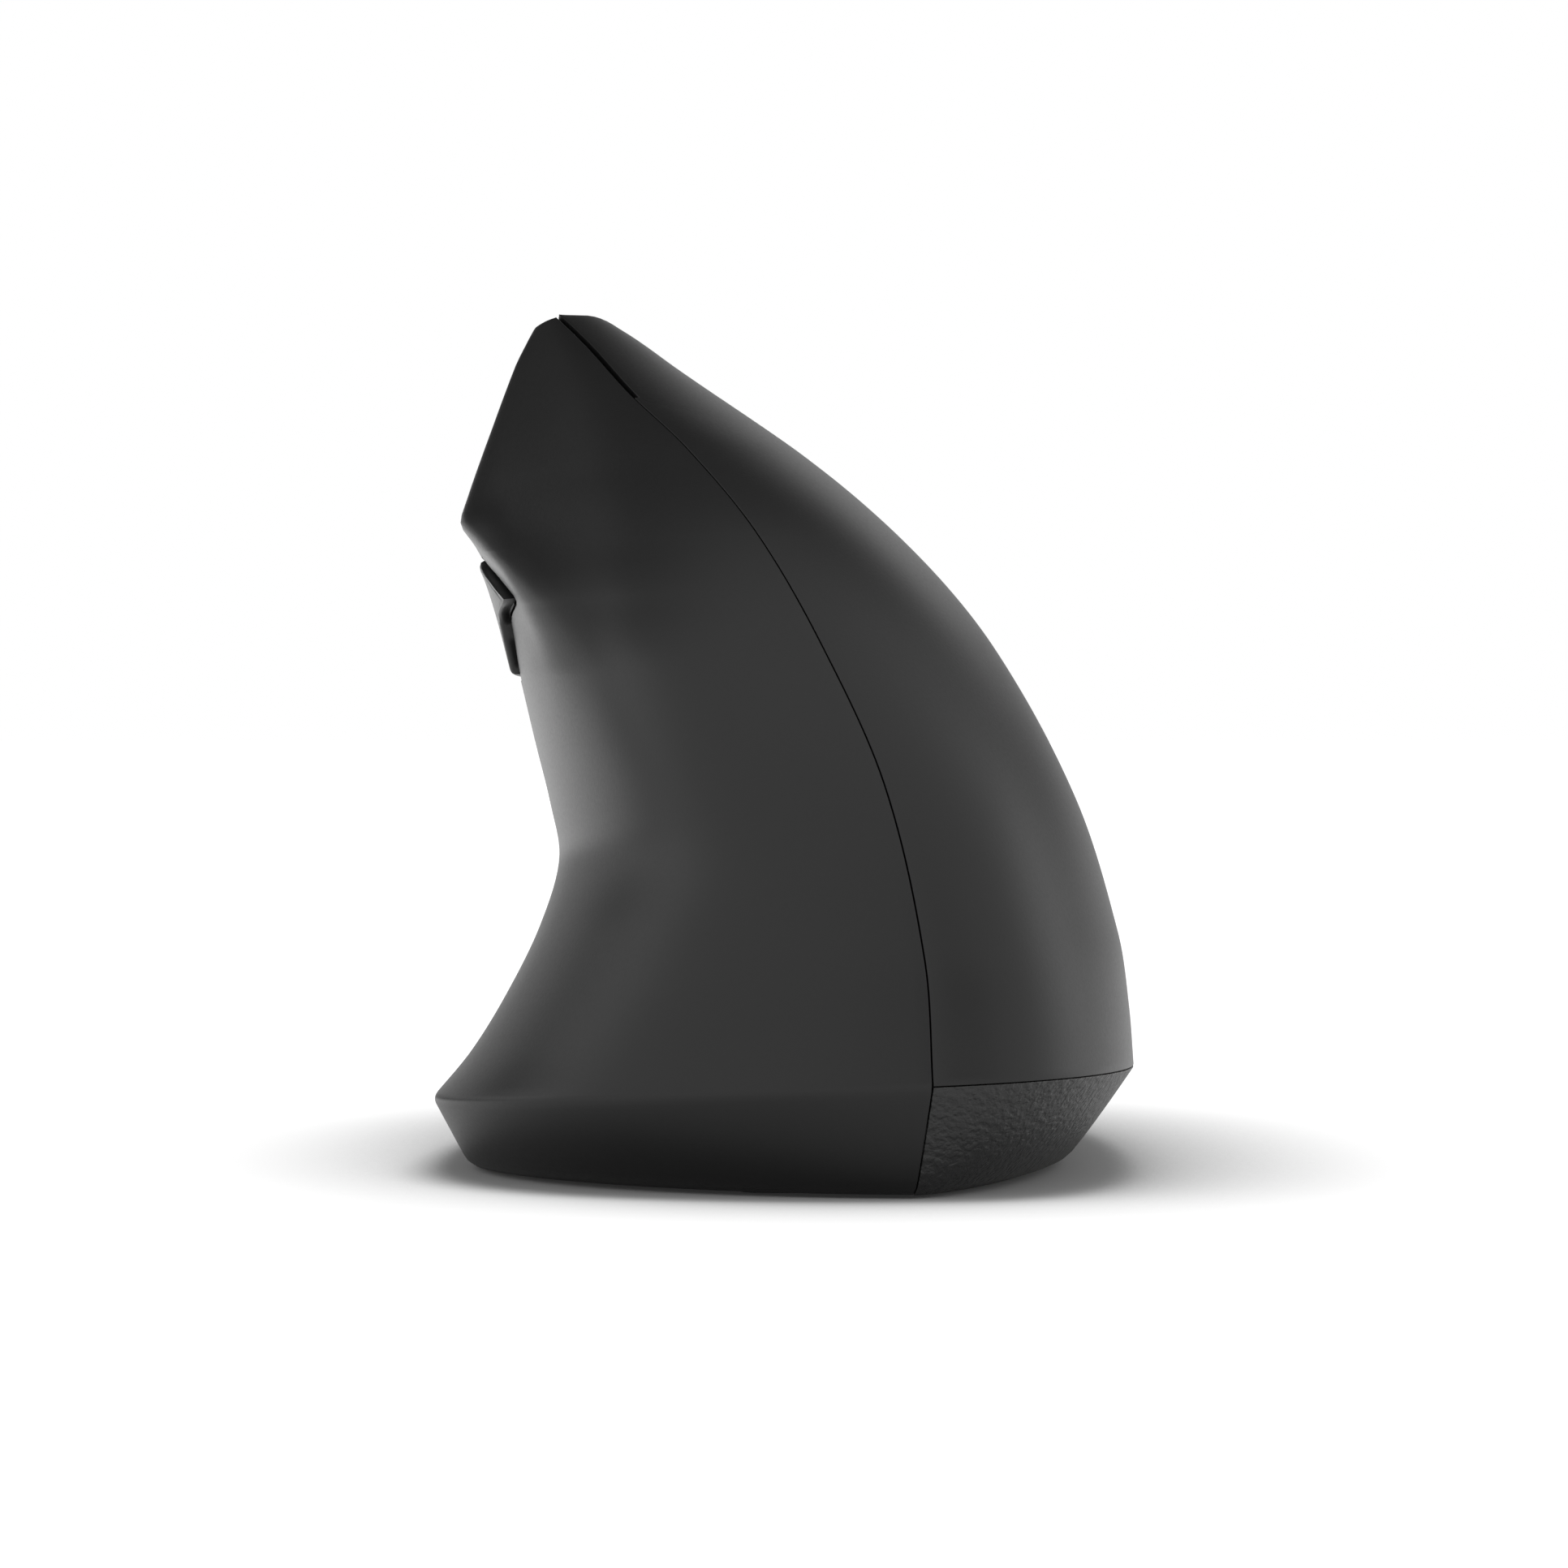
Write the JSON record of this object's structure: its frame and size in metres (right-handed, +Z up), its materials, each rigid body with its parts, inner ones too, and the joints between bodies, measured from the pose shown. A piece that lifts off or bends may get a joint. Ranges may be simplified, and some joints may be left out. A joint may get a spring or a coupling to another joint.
{
  "type": "vertical computer mouse",
  "caption": "Right-handed vertical mouse with a thumb scoop, a slanted finger face with buttons and scroll wheel, thumb keys on a pin, and a battery door underneath",
  "frame": {"origin": "on the desk, under the middle of the body", "axes": "+Z up, +Y from the heel to the nose, +X from the thumb side to the palm side"},
  "size_m": [0.0646, 0.1172, 0.0811],
  "materials": {
    "soft_touch": "rubberised matte black",
    "grained": "fine-grained moulded black",
    "smooth_black": "satin black",
    "tyre_rubber": "ribbed rubber",
    "inner_plastic": "moulded dark grey",
    "foot_pad": "slick low-friction pad",
    "board": "green solder mask",
    "switch_body": "black switch cases",
    "plunger": "pale plungers",
    "encoder_blue": "blue encoder case",
    "pale_plastic": "cream connector and ribbon",
    "knob": "dark slide knob",
    "lens": "clear moulded lens",
    "steel": "plated steel",
    "cell": "wrapped cell"
  },
  "bodies": {
    "housing": {"left_cover": "soft_touch", "right_cover": "soft_touch", "base": "grained", "wheel_bezel": "smooth_black", "thumb_pin": "steel", "inner_frame": "inner_plastic", "button_board": "board", "thumb_board": "board", "main_board": "board", "index_switch": "switch_body", "middle_switch": "switch_body", "wheel_switch": "switch_body", "dpi_switch": "switch_body", "back_switch": "switch_body", "forward_switch": "switch_body", "sensor_chip": "switch_body", "sensor_lens": "lens", "power_switch": "steel", "battery_cells": "cell", "battery_springs": "steel", "battery_plates": "steel", "ribbon_cable": "pale_plastic", "board_connectors": "pale_plastic", "case_screws": "steel", "board_screws": "steel", "front_foot": "foot_pad", "rear_foot": "foot_pad"},
    "carrier": {"wheel_carrier": "inner_plastic", "encoder": "encoder_blue"},
    "wheel": {"wheel_hub": "inner_plastic", "wheel_tyre": "tyre_rubber"},
    "index_button": {"index_button": "soft_touch"},
    "middle_button": {"middle_button": "soft_touch"},
    "dpi_button": {"dpi_button": "smooth_black"},
    "back_key": {"back_key": "smooth_black"},
    "forward_key": {"forward_key": "smooth_black"},
    "power_knob": {"power_knob": "knob"},
    "battery_door": {"battery_door": "grained"},
    "index_plunger": {"index_plunger": "plunger"},
    "middle_plunger": {"middle_plunger": "plunger"},
    "wheel_plunger": {"wheel_plunger": "plunger"},
    "dpi_plunger": {"dpi_plunger": "plunger"},
    "back_plunger": {"back_plunger": "plunger"},
    "forward_plunger": {"forward_plunger": "plunger"}
  },
  "joints": [
    {"name": "index_press", "type": "hinge", "parent": "housing", "child": "index_button", "pos_m": [-0.00602, -0.00478, 0.06833], "axis": [-0.8094, -0.516, 0.2803], "range_deg": [0, 0.7], "stiffness_Nm_per_rad": 0.5, "springref_deg": -1.15},
    {"name": "middle_press", "type": "hinge", "parent": "housing", "child": "middle_button", "pos_m": [0.01609, -0.00223, 0.05002], "axis": [-0.5959, -0.0051, 0.8031], "range_deg": [0, 0.7], "stiffness_Nm_per_rad": 0.5, "springref_deg": -1.15},
    {"name": "wheel_press", "type": "hinge", "parent": "housing", "child": "carrier", "pos_m": [-0.00249, 0.01199, 0.05222], "axis": [-0.7314, 0, 0.682], "range_deg": [0, 0.75], "stiffness_Nm_per_rad": 0.8, "springref_deg": -1.15},
    {"name": "wheel_spin", "type": "hinge", "parent": "carrier", "child": "wheel", "pos_m": [-0.00079, 0.02799, 0.05405], "axis": [0.7314, 0, -0.682], "continuous": true},
    {"name": "dpi_press", "type": "slide", "parent": "housing", "child": "dpi_button", "axis": [-0.682, 0, -0.7314], "range_m": [0, 0.0004], "stiffness_N_per_m": 1500, "springref_m": -0.0004},
    {"name": "back_press", "type": "hinge", "parent": "housing", "child": "back_key", "pos_m": [-0.0228, 0, 0.06], "axis": [0, -1, 0], "range_deg": [0, 2.6], "stiffness_Nm_per_rad": 0.12, "springref_deg": -2.86},
    {"name": "forward_press", "type": "hinge", "parent": "housing", "child": "forward_key", "pos_m": [-0.0228, 0, 0.06], "axis": [0, -1, 0], "range_deg": [0, 2.6], "stiffness_Nm_per_rad": 0.12, "springref_deg": -2.86},
    {"name": "power_slide", "type": "slide", "parent": "housing", "child": "power_knob", "axis": [1, 0, 0], "range_m": [0, 0.003]},
    {"name": "door_pull", "type": "slide", "parent": "housing", "child": "battery_door", "axis": [0, 0, -1], "range_m": [0, 0.02]},
    {"name": "index_plunger_slide", "type": "slide", "parent": "housing", "child": "index_plunger", "axis": [-0.682, 0, -0.7314], "range_m": [0, 0.0005]},
    {"name": "middle_plunger_slide", "type": "slide", "parent": "housing", "child": "middle_plunger", "axis": [-0.682, 0, -0.7314], "range_m": [0, 0.0005]},
    {"name": "wheel_plunger_slide", "type": "slide", "parent": "housing", "child": "wheel_plunger", "axis": [-0.682, 0, -0.7314], "range_m": [0, 0.0005]},
    {"name": "dpi_plunger_slide", "type": "slide", "parent": "housing", "child": "dpi_plunger", "axis": [-0.682, 0, -0.7314], "range_m": [0, 0.0005]},
    {"name": "back_plunger_slide", "type": "slide", "parent": "housing", "child": "back_plunger", "axis": [1, 0, 0], "range_m": [0, 0.0005]},
    {"name": "forward_plunger_slide", "type": "slide", "parent": "housing", "child": "forward_plunger", "axis": [1, 0, 0], "range_m": [0, 0.0005]}
  ],
  "couplings": [
    {"joint": "index_plunger_slide", "follows": "index_press", "m_per_rad": 0.02353},
    {"joint": "middle_plunger_slide", "follows": "middle_press", "m_per_rad": 0.02544},
    {"joint": "wheel_plunger_slide", "follows": "wheel_press", "m_per_rad": 0.0305},
    {"joint": "dpi_plunger_slide", "follows": "dpi_press", "ratio": 1},
    {"joint": "back_plunger_slide", "follows": "back_press", "m_per_rad": 0.009},
    {"joint": "forward_plunger_slide", "follows": "forward_press", "m_per_rad": 0.009}
  ]
}
